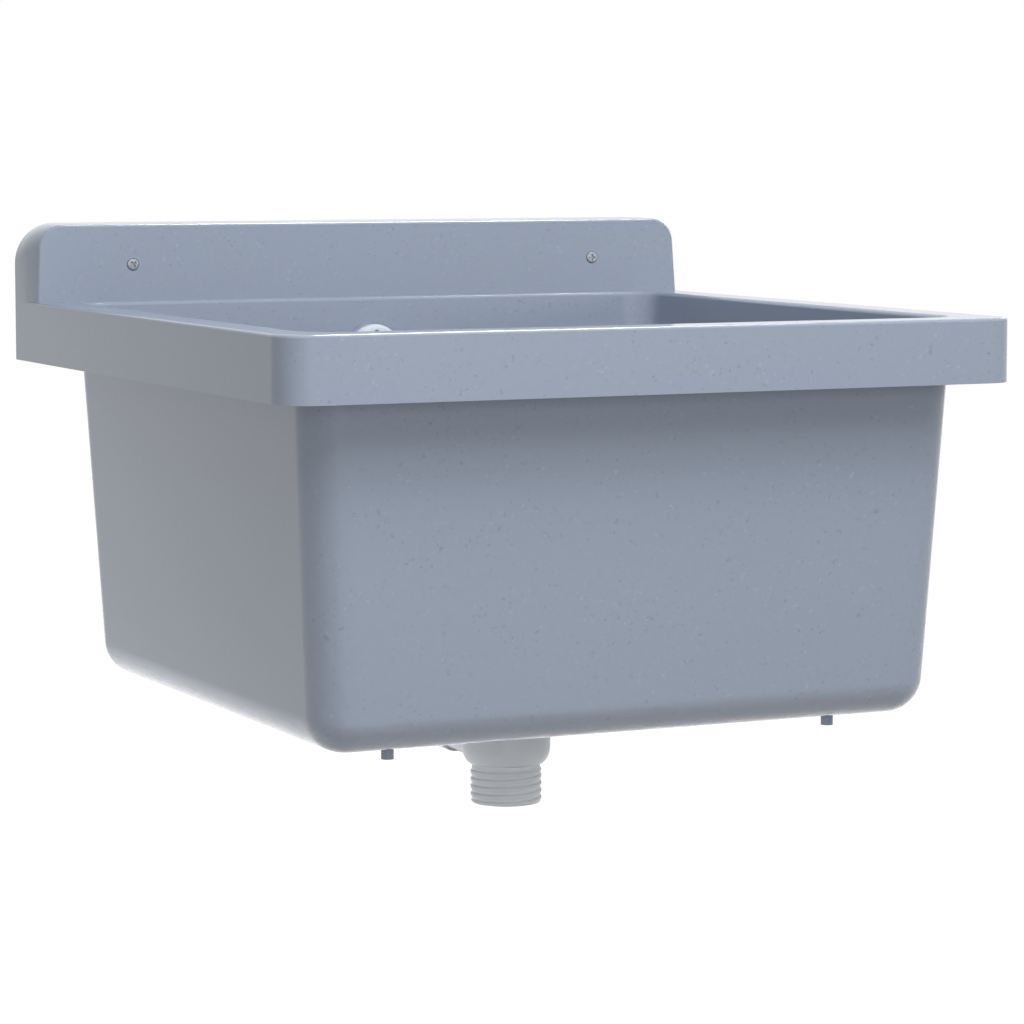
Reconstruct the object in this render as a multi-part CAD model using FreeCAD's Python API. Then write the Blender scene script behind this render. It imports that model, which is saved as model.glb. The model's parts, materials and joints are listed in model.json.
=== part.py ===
"""Wall-mounted utility sink: one moulded basin with its wall fixings, a screwed strainer waste with a
rubber plug, and an overflow that runs behind the bowl to the waste.

Millimetres. +X is right seen from the front, +Y goes into the wall, +Z is up. The wall plane is Y = 0
and the origin lies midway between the two wall fixings on that plane.
"""
import FreeCAD, Part
import math
import os

from FreeCAD import Vector

os.makedirs("parts", exist_ok=True)

# Rim and backsplash
rim_width = 500.0
rim_depth = 505.0
rim_height = 41.0
rim_corner_radius = 22.0
rim_edge_radius = 2.0
rim_inner_edge_radius = 3.0
wall = 4.0
splash_rise = 54.0
splash_depth = 43.0
splash_lean = 2.0
splash_back_corner_radius = 28.0
splash_front_corner_radius = 16.5
splash_end_draft = 5.7
splash_top_draft = 0.8
splash_edge_radius = 2.0
splash_straight_share = 0.2
splash_section_shares = (0, 0.2, 0.4, 0.6, 0.8, 1)
rib_count = 10
rib_thickness = 3.0
deck_ledge = 3.6
ledge_fillet_share = 0.9

# Bowl
bowl_side_inset = 26.5
bowl_front_inset = 26.5
bowl_depth = 214.5
bowl_taper = 11.3
bowl_bottom_radius = 24.0
bowl_corner_extra = 2.0
peg_radius = 4.0
peg_height = 8.5
peg_side_inset = 57.7
peg_end_inset = 36.7

# Wall fixings
fixing_height = 66.5
fixing_inset = 72.0
boss_radius = 8.0
screw_radius = 2.5
screw_shank_radius = 1.8
screw_clearance = 0.5
screw_head_radius = 4.2
screw_head_height = 2.2
screw_slot_turns = (40, 0)
screw_reach = 34.0
screw_tip_length = 5.0
spot_clearance = 0.25
spot_depth = 1.2
head_profile_shares = ((1, 0.5), (0.92, 0.86), (0.76, 1), (0, 1))
tip_radius_share = 0.25
recess_depth_share = 0.58
recess_width_share = 0.30
recess_span_share = 1.22

# Drain: dished seat, strainer, seals and plug
drain_offset = 10.5
drain_hole_radius = 27.0
dish_radius = 52.0
dish_flat_radius = 38.0
dish_depth = 3.0
drain_pad_thickness = 4.0
strainer_seal_thickness = 1.5
strainer_flange_radius = 36.0
strainer_gauge = 1.2
strainer_cup_clearance = 1.0
strainer_cup_depth = 16.0
strainer_edge_radius = 0.5
strainer_hole_radius = 2.6
strainer_outer_ring_radius = 19.5
strainer_outer_hole_count = 12
strainer_inner_ring_radius = 11.5
strainer_inner_hole_count = 6
seal_clearance = 0.5
plug_gap = 0.3
plug_side_clearance = 0.5
plug_overlap = 3.2
plug_flange_thickness = 2.6
plug_body_height = 8.0
plug_taper = 0.8
plug_edge_radius = 1.0
plug_recess_depth = 3.0
plug_skirt = 4.0
eye_shank_radius = 1.8
eye_shank_length = 4.0
eye_shank_clearance = 0.05
eye_base_radius = 5.0
eye_base_thickness = 1.2
eye_radius = 4.0
eye_thickness = 3.0
eye_hole_radius = 2.2
eye_hole_rise = 5.4
ring_radius = 9.0
ring_wire_radius = 1.1

# Waste body under the bowl
waste_seal_thickness = 3.0
waste_flange_radius = 37.0
waste_flange_thickness = 3.5
waste_neck_length = 24.5
waste_mouth_clearance = 0.7
waste_wall = 3.0
waste_shoulder_height = 11.5
waste_shoulder_steps = 6
waste_shoulder_bulge_share = 0.84
waste_spigot_length = 26.0
thread_radius = 23.8
thread_depth = 1.2
thread_pitch = 5.0
thread_count = 5
thread_crest_share = 0.38
thread_flank_share = 0.18
outlet_wall = 3.0
waste_screw_radius = 2.9
waste_screw_clearance = 0.4
waste_screw_head_radius = 5.5
waste_screw_head_height = 3.2
waste_screw_overhang = 4.0
waste_nut_radius = 4.4
waste_nut_height = 9.0
nut_clearance = 0.1
waste_boss_radius = 7.0
waste_boss_drop = 7.0
waste_arm_width = 4.0
waste_arm_height = 6.0
waste_arm_count = 3

# Overflow: rosette inside, elbow behind, ribbed hose down to the waste body
overflow_height = 2.6
overflow_hole_radius = 13.0
overflow_pad_radius = 21.0
overflow_pad_thickness = 1.6
rosette_radius = 19.0
rosette_height = 6.0
rosette_wall = 2.0
rosette_edge_radius = 2.4
rosette_slot_count = 8
rosette_slot_width = 3.0
rosette_slot_inner_radius = 7.0
rosette_slot_outer_radius = 15.0
overflow_screw_radius = 2.4
overflow_screw_clearance = 0.3
overflow_screw_head_radius = 4.6
overflow_screw_head_height = 2.4
overflow_nut_radius = 3.8
overflow_nut_length = 7.0
overflow_boss_radius = 5.4
overflow_arm_width = 2.4
overflow_seal_thickness = 2.0
elbow_flange_radius = 20.0
elbow_flange_thickness = 3.0
elbow_run = 6.8
elbow_bend_radius = 14.0
elbow_spigot_length = 18.0
pipe_radius = 11.0
pipe_bore_radius = 8.8
port_rise = 8.2
port_length_share = 0.547
hose_bend_radius = 80.0
hose_crest_radius = 12.5
hose_root_radius = 10.4
hose_pitch = 4.0
hose_rib_shares = (0.08, 0.30, 0.70, 0.92)
cuff_length = 28.0
cuff_radius = 13.0
cuff_clearance = 0.15

# One overrun serves every cut, and one share of the wall tells two levels apart
overrun = 2.0
level_share = 0.001
arc_shares = (0, 0.5, 1)

# Levels and places that follow from the sizes above
X_AXIS = Vector(1, 0, 0)
Y_AXIS = Vector(0, 1, 0)
Z_AXIS = Vector(0, 0, 1)
ORIGIN = Vector(0, 0, 0)
half_width = rim_width / 2
rim_bottom_z = -fixing_height
rim_top_z = rim_bottom_z + rim_height
splash_top_z = rim_top_z + splash_rise
bowl_bottom_z = rim_bottom_z - bowl_depth
floor_z = bowl_bottom_z + wall
bowl_corner_radius = bowl_bottom_radius + bowl_corner_extra
bowl_back_gap = splash_depth + deck_ledge - wall + bowl_taper * rim_height / bowl_depth


def bowl_lean(z):
    """How far the bowl's walls have come in at height z."""
    return bowl_taper * (rim_bottom_z - z) / bowl_depth


def back_y(z):
    """Y of the bowl's outer back wall at height z."""
    return -bowl_back_gap - bowl_lean(z)


def front_y(z):
    """Y of the bowl's outer front wall at height z."""
    return bowl_front_inset - rim_depth + bowl_lean(z)


def side_x(z):
    """X of the bowl's outer right wall at height z."""
    return half_width - bowl_side_inset - bowl_lean(z)


def splash_face_y(z):
    """Y of the backsplash's front face at height z."""
    return splash_lean * (z - rim_top_z) / splash_rise - splash_depth


head_seat_y = splash_face_y(0) + spot_depth
drain_y = (front_y(bowl_bottom_z) + back_y(bowl_bottom_z)) / 2 - drain_offset
dish_z = floor_z - dish_depth
pad_bottom_z = bowl_bottom_z - drain_pad_thickness
flange_under_z = dish_z + strainer_seal_thickness
flange_top_z = flange_under_z + strainer_gauge
cup_radius = drain_hole_radius - strainer_cup_clearance
cup_inner_radius = cup_radius - strainer_gauge
cup_bottom_z = flange_top_z - strainer_cup_depth
grid_top_z = cup_bottom_z + strainer_gauge
plug_seat_z = flange_top_z + plug_gap
plug_top_z = plug_seat_z + plug_flange_thickness
plug_foot_z = plug_seat_z - plug_body_height
eye_z = plug_top_z + eye_hole_rise
ring_drop_angle = math.degrees(math.asin((eye_hole_rise - ring_wire_radius - plug_gap) / (2 * ring_radius)))
mouth_radius = cup_radius + waste_mouth_clearance
neck_radius = mouth_radius + waste_wall
thread_root_radius = thread_radius - thread_depth
outlet_bore_radius = thread_root_radius - outlet_wall
waste_top_z = pad_bottom_z - waste_seal_thickness
waste_flange_bottom_z = waste_top_z - waste_flange_thickness
shoulder_top_z = waste_flange_bottom_z - waste_neck_length
spigot_top_z = shoulder_top_z - waste_shoulder_height
outlet_z = spigot_top_z - waste_spigot_length
boss_top_z = cup_bottom_z - waste_boss_drop
boss_bottom_z = boss_top_z - waste_nut_height
port_z = spigot_top_z + port_rise
overflow_z = rim_bottom_z + overflow_height
pad_out_y = back_y(overflow_z) + overflow_pad_thickness
pad_in_y = back_y(overflow_z) - wall - overflow_pad_thickness
elbow_flange_y = pad_out_y + overflow_seal_thickness
elbow_bend_y = elbow_flange_y + elbow_run
hose_y = elbow_bend_y + elbow_bend_radius
elbow_end_z = overflow_z - elbow_bend_radius - elbow_spigot_length
hose_bend_y = hose_y - hose_bend_radius
hose_bend_z = port_z + hose_bend_radius
port_length = port_length_share * (hose_bend_y - drain_y)
port_end_y = drain_y + port_length


def cylinder(radius, length, base, axis=Z_AXIS):
    """A round bar from base along axis."""
    return Part.makeCylinder(radius, length, base, axis)


def tube(outer, inner, length, base, axis=Z_AXIS):
    """A plain sleeve from base along axis."""
    return cylinder(outer, length, base, axis).cut(cylinder(inner, length, base, axis))


def turned(points, centre):
    """A solid of revolution about the upright through centre; points are (radius, height) pairs."""
    wire = Part.makePolygon([Vector(r, 0, h) for r, h in points + points[:1]])
    solid = Part.Face(wire).revolve(ORIGIN, Z_AXIS, 360)
    solid.translate(centre)
    return solid


def placed(shape, place, axis):
    """A copy of a shape made at the origin whose +Z now points along axis, at place."""
    copy = shape.copy()
    copy.Placement = FreeCAD.Placement(place, FreeCAD.Rotation(Z_AXIS, axis))
    return copy


def line(a, b):
    """A straight edge."""
    return Part.LineSegment(a, b).toShape()


def quarter_arc(x, y, radius, start, z):
    """A quarter circle in a level plane about (x, y), from the angle start in degrees."""
    angles = [math.radians(start + share * 90) for share in arc_shares]
    points = [Vector(x + radius * math.cos(a), y + radius * math.sin(a), z) for a in angles]
    return Part.Arc(*points).toShape()


def edges_at(shape, z):
    """The edges of a shape that lie wholly in the level plane z."""
    near = wall * level_share
    return [e for e in shape.Edges if all(abs(v.Z - z) < near for v in e.Vertexes)]


def bowl_wire(z, inset):
    """The bowl's rounded rectangle at height z, drawn in by inset from its outside."""
    x = side_x(z) - inset
    front = front_y(z) + inset
    back = back_y(z) - inset
    r = bowl_corner_radius - inset
    corners = [(x - r, back - r, 0), (r - x, back - r, 90), (r - x, front + r, 180), (x - r, front + r, 270)]
    arcs = [quarter_arc(cx, cy, r, start, z) for cx, cy, start in corners]
    edges = []
    for arc, following in zip(arcs, arcs[1:] + arcs[:1]):
        edges += [arc, line(arc.Vertexes[-1].Point, following.Vertexes[0].Point)]
    return Part.Wire(edges)


def bowl_solid(top_z, bottom_z, inset):
    """The tapered bowl between two heights, with its bottom edge rounded."""
    body = Part.makeLoft([bowl_wire(top_z, inset), bowl_wire(bottom_z, inset)], True, True)
    return body.makeFillet(bowl_bottom_radius - inset, edges_at(body, bottom_z))


def rim_block(inset, bottom_z, top_z, back):
    """The rim's plan, drawn in by inset, between two heights: front corners round, back corners square."""
    x = half_width - inset
    front = inset - rim_depth
    r = rim_corner_radius - inset
    left = quarter_arc(r - x, front + r, r, 180, bottom_z)
    right = quarter_arc(x - r, front + r, r, 270, bottom_z)
    back_left = Vector(-x, back, bottom_z)
    back_right = Vector(x, back, bottom_z)
    edges = [line(back_left, left.Vertexes[0].Point), left]
    edges += [line(left.Vertexes[-1].Point, right.Vertexes[0].Point), right]
    edges += [line(right.Vertexes[-1].Point, back_right), line(back_right, back_left)]
    return Part.Face(Part.Wire(edges)).extrude(Vector(0, 0, top_z - bottom_z))


def splash_wire(share, inset, low_z):
    """The backsplash's outline at a share of its depth: the ends lean in towards the front and the top."""
    bend = max(0, (share - splash_straight_share) / (1 - splash_straight_share)) ** 2
    half = half_width - inset
    radius = (1 - share) * splash_back_corner_radius + share * splash_front_corner_radius - inset
    lean = math.atan(splash_end_draft * bend / (splash_top_z - rim_bottom_z))
    centre_z = splash_top_z - splash_top_draft * bend - inset - radius
    centre_x = half - (radius + (centre_z - rim_bottom_z) * math.sin(lean)) / math.cos(lean)

    def point(x, z):
        return Vector(x, share * (splash_face_y(z) + inset), z)

    def corner(side):
        angles = [lean + arc * (math.pi / 2 - lean) for arc in arc_shares]
        return [point(side * (centre_x + radius * math.cos(a)), centre_z + radius * math.sin(a))
                for a in angles]

    low_x = half - (low_z - rim_bottom_z) * math.tan(lean)
    right = corner(1)
    left = corner(-1)
    low_right = point(low_x, low_z)
    low_left = point(-low_x, low_z)
    edges = [line(low_right, right[0]), Part.Arc(*right).toShape(), line(right[-1], left[-1])]
    edges += [Part.Arc(*reversed(left)).toShape(), line(left[0], low_left), line(low_left, low_right)]
    return Part.Wire(edges)


def splash_solid(inset, low_z):
    """The backsplash block from the wall plane forward, drawn in by inset on its front, top and ends."""
    return Part.makeLoft([splash_wire(share, inset, low_z) for share in splash_section_shares], True, True)


def rounded_splash():
    """The backsplash with its front edge rounded along both ends and the top."""
    body = splash_solid(0, rim_bottom_z)
    near = wall * level_share
    front = [e for e in body.Edges if all(abs(v.Y - splash_face_y(v.Z)) < near for v in e.Vertexes)]
    edges = [e for e in front if any(v.Z > rim_bottom_z + near for v in e.Vertexes)]
    return body.makeFillet(splash_edge_radius, edges)


def hollows():
    """The open spaces under the rim and behind the backsplash, around the bowl."""
    under = rim_block(wall, rim_bottom_z - overrun, rim_top_z - wall, overrun)
    behind = splash_solid(wall, rim_bottom_z - overrun)
    bowl = bowl_solid(rim_top_z, bowl_bottom_z, 0)
    return [under.cut(bowl), behind.cut(bowl)]


def mouth_edges(body):
    """The edges of the bowl's mouth in the rim's top."""
    box = bowl_wire(rim_top_z, wall / 2).BoundBox
    return [e for e in edges_at(body, rim_top_z)
            if box.XMin < e.BoundBox.XMin and e.BoundBox.XMax < box.XMax
            and box.YMin < e.BoundBox.YMin and e.BoundBox.YMax < box.YMax]


def basin_shell():
    """Rim, backsplash and bowl as one thin moulding."""
    rim = rim_block(0, rim_bottom_z, rim_top_z, 0)
    outer = [e for e in edges_at(rim, rim_top_z) if any(v.Y < 0 for v in e.Vertexes)]
    rim = rim.makeFillet(rim_edge_radius, outer)
    body = rim.fuse([rounded_splash(), bowl_solid(rim_top_z, bowl_bottom_z, 0)])
    body = body.cut(bowl_solid(rim_top_z + overrun, floor_z, wall)).removeSplitter()
    body = body.makeFillet(min(rim_inner_edge_radius, deck_ledge * ledge_fillet_share), mouth_edges(body))
    for space in hollows():
        body = body.cut(space)
    return body


def splash_ribs():
    """Upright stiffening ribs behind the backsplash."""
    pitch = (rim_width - 2 * wall) / (rib_count + 1)
    block = splash_solid(wall / 2, rim_top_z)
    plates = []
    for i in range(rib_count):
        x = (i + 1) * pitch - half_width + wall - rib_thickness / 2
        corner = Vector(x, -splash_depth, rim_top_z)
        plates.append(Part.makeBox(rib_thickness, splash_depth, splash_rise, corner).common(block))
    return plates


def fixing_places():
    """The two wall fixings on the wall plane."""
    return [Vector(side * (half_width - fixing_inset), 0, 0) for side in (-1, 1)]


def fixing_features():
    """The fixings' bosses to add to the basin, and the bores and sunk head seats to cut from it."""
    added, cuts = [], []
    for place in fixing_places():
        base = place + Vector(0, splash_face_y(0) + wall / 2, 0)
        added.append(cylinder(boss_radius, -base.y, base, Y_AXIS))
        start = place - Vector(0, splash_depth + overrun, 0)
        cuts.append(cylinder(screw_radius + screw_clearance, overrun - start.y, start, Y_AXIS))
        cuts.append(cylinder(screw_head_radius + spot_clearance, head_seat_y - start.y, start, Y_AXIS))
    return added, cuts


def drain_features():
    """The drain's pad to add under the bowl, and its dish and hole to cut."""
    pad = cylinder(dish_radius, drain_pad_thickness + wall / 2, Vector(0, drain_y, pad_bottom_z))
    dish = Part.makeCone(dish_flat_radius, dish_radius, dish_depth, Vector(0, drain_y, dish_z))
    start = Vector(0, drain_y, pad_bottom_z - overrun)
    return [pad], [dish, cylinder(drain_hole_radius, floor_z + overrun - start.z, start)]


def overflow_features():
    """The overflow's upright pad on both sides of the back wall, and its hole."""
    length = pad_out_y - pad_in_y
    pad = cylinder(overflow_pad_radius, length, Vector(0, pad_in_y, overflow_z), Y_AXIS)
    start = Vector(0, pad_in_y - overrun, overflow_z)
    return [pad], [cylinder(overflow_hole_radius, length + 2 * overrun, start, Y_AXIS)]


def bottom_pegs():
    """The four small pegs under the bowl's corners."""
    x = side_x(bowl_bottom_z) - peg_side_inset
    rows = (front_y(bowl_bottom_z) + peg_end_inset, back_y(bowl_bottom_z) - peg_end_inset)
    base_z = bowl_bottom_z - peg_height
    return [cylinder(peg_radius, peg_height + wall / 2, Vector(side * x, y, base_z))
            for side in (-1, 1) for y in rows]


def make_basin():
    """The whole moulding: shell, ribs, fixing bosses, drain seat, overflow pad and bottom pegs."""
    added = splash_ribs() + bottom_pegs()
    cuts = []
    for feature in (fixing_features(), drain_features(), overflow_features()):
        added += feature[0]
        cuts += feature[1]
    body = basin_shell().fuse(added)
    for tool in cuts:
        body = body.cut(tool)
    return body.removeSplitter()


def cross_recess(depth, width, span, top):
    """Two crossed slots sunk from top towards -Z."""
    slot = Part.makeBox(span, width, depth + overrun, top - Vector(span / 2, width / 2, depth))
    other = slot.copy()
    other.rotate(top, Z_AXIS, 90)
    return slot.fuse(other)


def bar_stem(radius, length, tip):
    """The (radius, depth) points of a plain stem that narrows over its tip."""
    return [(radius, 0), (radius, length - tip), (radius * tip_radius_share, length)]


def pan_screw(stem, head_radius, head_height):
    """A pan-head screw with a cross recess: its head's seat at the origin, its stem along -Z."""
    crown = [(head_radius * r, head_height * h) for r, h in head_profile_shares]
    head = turned([(0, 0), (head_radius, 0)] + crown, ORIGIN)
    shank = turned([(0, 0)] + [(r, -depth) for r, depth in stem] + [(0, -stem[-1][1])], ORIGIN)
    recess = cross_recess(head_height * recess_depth_share, head_radius * recess_width_share,
                          head_radius * recess_span_share, Vector(0, 0, head_height))
    return head.fuse(shank).cut(recess).removeSplitter()


def make_wall_screws():
    """The two wall screws: heads sunk in the backsplash, thin to the wall plane, threaded beyond it."""
    smooth = [(screw_shank_radius, 0), (screw_shank_radius, -head_seat_y)]
    beyond = bar_stem(screw_radius, screw_reach, screw_tip_length)
    threaded = [(r, depth - head_seat_y) for r, depth in beyond]
    screws = []
    for place, turn in zip(fixing_places(), screw_slot_turns):
        screw = pan_screw(smooth + threaded, screw_head_radius, screw_head_height)
        screw.rotate(ORIGIN, Z_AXIS, turn)
        screw.rotate(ORIGIN, X_AXIS, 90)
        screw.translate(place + Vector(0, head_seat_y, 0))
        screws.append(screw)
    return screws


def make_strainer():
    """The steel strainer: flange, cup and perforated grid, pressed from one sheet."""
    profile = [(0, cup_bottom_z), (cup_radius, cup_bottom_z), (cup_radius, flange_under_z),
               (strainer_flange_radius, flange_under_z), (strainer_flange_radius, flange_top_z),
               (cup_inner_radius, flange_top_z), (cup_inner_radius, grid_top_z), (0, grid_top_z)]
    body = turned(profile, Vector(0, drain_y, 0))
    body = body.makeFillet(strainer_edge_radius, edges_at(body, flange_top_z))
    length = strainer_gauge + 2 * overrun
    start = Vector(0, drain_y, cup_bottom_z - overrun)
    tools = [cylinder(waste_screw_radius + waste_screw_clearance, length, start)]
    rings = [(strainer_outer_ring_radius, strainer_outer_hole_count),
             (strainer_inner_ring_radius, strainer_inner_hole_count)]
    for radius, count in rings:
        for i in range(count):
            a = 2 * math.pi * i / count
            offset = Vector(radius * math.cos(a), radius * math.sin(a), 0)
            tools.append(cylinder(strainer_hole_radius, length, start + offset))
    return body.cut(tools)


def make_strainer_seal():
    """The flat rubber ring between the strainer's flange and the dished seat."""
    return tube(strainer_flange_radius - seal_clearance, drain_hole_radius + seal_clearance,
                strainer_seal_thickness, Vector(0, drain_y, dish_z))


def make_strainer_screw():
    """The long screw that draws the strainer down on to the waste body."""
    length = grid_top_z - boss_bottom_z + waste_screw_overhang
    stem = bar_stem(waste_screw_radius, length, waste_screw_radius)
    screw = pan_screw(stem, waste_screw_head_radius, waste_screw_head_height)
    return placed(screw, Vector(0, drain_y, grid_top_z), Z_AXIS)


def make_waste_seal():
    """The thick rubber ring between the bowl's underside and the waste body."""
    return tube(waste_flange_radius - seal_clearance, mouth_radius + seal_clearance,
                waste_seal_thickness, Vector(0, drain_y, waste_top_z))


def waste_outline():
    """The waste body's outside from its flange down to the end of its thread."""
    crest = thread_pitch * thread_crest_share
    flank = thread_pitch * thread_flank_share
    points = [(waste_flange_radius, waste_top_z), (waste_flange_radius, waste_flange_bottom_z),
              (neck_radius, waste_flange_bottom_z), (neck_radius, shoulder_top_z)]
    for i in range(1, waste_shoulder_steps):
        a = math.pi / 2 * i / waste_shoulder_steps
        inward = math.cos(a) ** waste_shoulder_bulge_share
        down = math.sin(a) ** (1 / waste_shoulder_bulge_share)
        points.append((thread_root_radius + (neck_radius - thread_root_radius) * inward,
                       shoulder_top_z - waste_shoulder_height * down))
    points.append((thread_root_radius, spigot_top_z))
    for i in range(thread_count):
        z = outlet_z + (thread_count - i) * thread_pitch - flank
        points += [(thread_root_radius, z), (thread_radius, z - flank), (thread_radius, z - flank - crest),
                   (thread_root_radius, z - 2 * flank - crest)]
    points.append((thread_root_radius, outlet_z))
    return points


def nut_spider():
    """The waste body's inner boss for the nut, carried by arms to the neck's wall."""
    pieces = [cylinder(waste_boss_radius, waste_nut_height, Vector(0, drain_y, boss_bottom_z))]
    for i in range(waste_arm_count):
        corner = Vector(0, drain_y - waste_arm_width / 2, boss_top_z - waste_arm_height)
        arm = Part.makeBox(mouth_radius + waste_wall / 2, waste_arm_width, waste_arm_height, corner)
        arm.rotate(Vector(0, drain_y, 0), Z_AXIS, 360 * i / waste_arm_count - 90)
        pieces.append(arm)
    return pieces


def make_waste_body():
    """The moulded waste body: flange, neck, shoulder, threaded outlet, nut boss and overflow port."""
    centre = Vector(0, drain_y, 0)
    bore = [(outlet_bore_radius, outlet_z), (outlet_bore_radius, spigot_top_z),
            (mouth_radius, shoulder_top_z), (mouth_radius, waste_top_z)]
    core = turned([(0, outlet_z)] + bore + [(0, waste_top_z)], centre)
    axis = Vector(0, drain_y, port_z)
    port = cylinder(pipe_radius, port_length, axis, Y_AXIS).cut(core)
    body = turned(waste_outline() + bore, centre).fuse(port)
    body = body.cut(cylinder(pipe_bore_radius, port_length + overrun, axis, Y_AXIS))
    nut_bore = cylinder(waste_nut_radius + nut_clearance, waste_nut_height + 2 * overrun,
                        Vector(0, drain_y, boss_bottom_z - overrun))
    return body.fuse(nut_spider()).cut(nut_bore).removeSplitter()


def make_waste_nut():
    """The brass insert that the strainer's screw turns into."""
    return tube(waste_nut_radius, waste_screw_radius + nut_clearance, waste_nut_height,
                Vector(0, drain_y, boss_bottom_z))


def make_drain_plug():
    """The rubber plug: a flange over the strainer's mouth and a tapered skirt in its cup."""
    top = cup_inner_radius - plug_side_clearance
    low = top - plug_taper
    flange = cup_inner_radius + plug_overlap
    recess_z = plug_foot_z + plug_recess_depth
    profile = [(0, plug_top_z), (flange - plug_edge_radius, plug_top_z),
               (flange, plug_top_z - plug_edge_radius), (flange, plug_seat_z), (top, plug_seat_z),
               (low, plug_foot_z), (low - plug_skirt, plug_foot_z), (low - plug_skirt, recess_z),
               (0, recess_z)]
    hole = cylinder(eye_shank_radius + eye_shank_clearance, eye_shank_length + overrun,
                    Vector(0, drain_y, plug_top_z - eye_shank_length))
    return turned(profile, Vector(0, drain_y, 0)).cut(hole)


def make_plug_eye():
    """The steel eye on the plug: a shank in the rubber, a foot and a drilled lug."""
    centre = Vector(0, drain_y, plug_top_z)
    shank = cylinder(eye_shank_radius, eye_shank_length, centre - Vector(0, 0, eye_shank_length))
    foot = cylinder(eye_base_radius, eye_base_thickness, centre)
    start = Vector(0, drain_y - eye_thickness / 2, eye_z)
    lug = cylinder(eye_radius, eye_thickness, start, Y_AXIS)
    stem = Part.makeBox(2 * eye_radius, eye_thickness, eye_hole_rise,
                        Vector(-eye_radius, start.y, plug_top_z))
    hole = cylinder(eye_hole_radius, eye_thickness + 2 * overrun, start - Vector(0, overrun, 0), Y_AXIS)
    return foot.fuse([shank, lug, stem]).cut(hole).removeSplitter()


def make_plug_ring():
    """The pull ring through the eye, lying over on the plug's top."""
    ring = Part.makeTorus(ring_radius, ring_wire_radius, Vector(ring_radius, drain_y, eye_z))
    ring.rotate(Vector(0, drain_y, eye_z), Y_AXIS, ring_drop_angle)
    return ring


def make_overflow_rosette():
    """The overflow's slotted cover inside the bowl."""
    seat = rosette_height - rosette_wall
    inner = rosette_radius - rosette_wall
    edge = [(rosette_radius - rosette_edge_radius * (1 - math.cos(a)),
             rosette_height - rosette_edge_radius * (1 - math.sin(a)))
            for a in (math.radians(share * 90) for share in arc_shares)]
    inside = [(0, seat), (inner, seat), (inner, 0), (rosette_radius, 0)]
    body = turned(inside + edge + [(0, rosette_height)], ORIGIN)
    tools = [cylinder(overflow_screw_radius + overflow_screw_clearance, rosette_height + overrun, ORIGIN)]
    slot_length = rosette_slot_outer_radius - rosette_slot_inner_radius
    for i in range(rosette_slot_count):
        corner = Vector(rosette_slot_inner_radius, -rosette_slot_width / 2, seat - overrun)
        slot = Part.makeBox(slot_length, rosette_slot_width, rosette_wall + 2 * overrun, corner)
        slot.rotate(ORIGIN, Z_AXIS, 360 * i / rosette_slot_count)
        tools.append(slot)
    return placed(body.cut(tools), Vector(0, pad_in_y, overflow_z), -Y_AXIS)


def make_overflow_screw():
    """The screw that draws the rosette and the elbow together through the back wall."""
    seat = pad_in_y - rosette_height
    stem = bar_stem(overflow_screw_radius, elbow_flange_y + overflow_nut_length - seat, overflow_screw_radius)
    screw = pan_screw(stem, overflow_screw_head_radius, overflow_screw_head_height)
    return placed(screw, Vector(0, seat, overflow_z), -Y_AXIS)


def make_overflow_seal():
    """The rubber ring between the bowl's back and the elbow's flange."""
    return tube(elbow_flange_radius - seal_clearance, overflow_hole_radius + seal_clearance,
                overflow_seal_thickness, Vector(0, pad_out_y, overflow_z), Y_AXIS)


def bent_bar(radius):
    """The elbow's path filled to a radius: out of the flange, a quarter turn, then down."""
    level = cylinder(radius, elbow_run, Vector(0, elbow_flange_y, overflow_z), Y_AXIS)
    disc = Part.Face(Part.Wire(Part.makeCircle(radius, Vector(0, elbow_bend_y, overflow_z), Y_AXIS)))
    bend = disc.revolve(Vector(0, elbow_bend_y, overflow_z - elbow_bend_radius), -X_AXIS, 90)
    down = cylinder(radius, elbow_spigot_length, Vector(0, hose_y, elbow_end_z))
    return level.fuse([bend, down])


def make_overflow_elbow():
    """The elbow behind the back wall, with its flange, nut boss and downward spigot."""
    centre = Vector(0, elbow_flange_y, overflow_z)
    flange = cylinder(elbow_flange_radius, elbow_flange_thickness, centre, Y_AXIS)
    body = flange.fuse(bent_bar(pipe_radius)).cut(bent_bar(pipe_bore_radius))
    boss = cylinder(overflow_boss_radius, overflow_nut_length, centre, Y_AXIS)
    span = (pipe_radius + pipe_bore_radius) / 2
    arm = Part.makeBox(2 * span, elbow_flange_thickness, overflow_arm_width,
                       centre - Vector(span, 0, overflow_arm_width / 2))
    nut_bore = cylinder(overflow_nut_radius + nut_clearance, overflow_nut_length + 2 * overrun,
                        centre - Vector(0, overrun, 0), Y_AXIS)
    return body.fuse([boss, arm]).cut(nut_bore).removeSplitter()


def make_overflow_nut():
    """The brass insert in the elbow that the rosette's screw turns into."""
    return tube(overflow_nut_radius, overflow_screw_radius + nut_clearance, overflow_nut_length,
                Vector(0, elbow_flange_y, overflow_z), Y_AXIS)


def hose_runs():
    """The lengths of the hose's upright run, its bend and its level run."""
    return elbow_end_z - hose_bend_z, hose_bend_radius * math.pi / 2, hose_bend_y - port_end_y


def hose_station(distance):
    """The hose's centre and its turn about X, in degrees, at a distance from its upper end."""
    upright, bend, _ = hose_runs()
    if distance <= upright:
        return Vector(0, hose_y, elbow_end_z - distance), 0
    if distance <= upright + bend:
        a = (distance - upright) / hose_bend_radius
        offset = Vector(0, hose_bend_radius * math.cos(a), -hose_bend_radius * math.sin(a))
        return Vector(0, hose_bend_y, hose_bend_z) + offset, -math.degrees(a)
    return Vector(0, hose_bend_y - (distance - upright - bend), port_z), -90


def hose_circle(distance, radius):
    """A circle round the hose at a distance along it."""
    centre, turn = hose_station(distance)
    ring = Part.makeCircle(radius)
    ring.rotate(ORIGIN, X_AXIS, turn)
    ring.translate(centre)
    return Part.Wire(ring)


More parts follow.
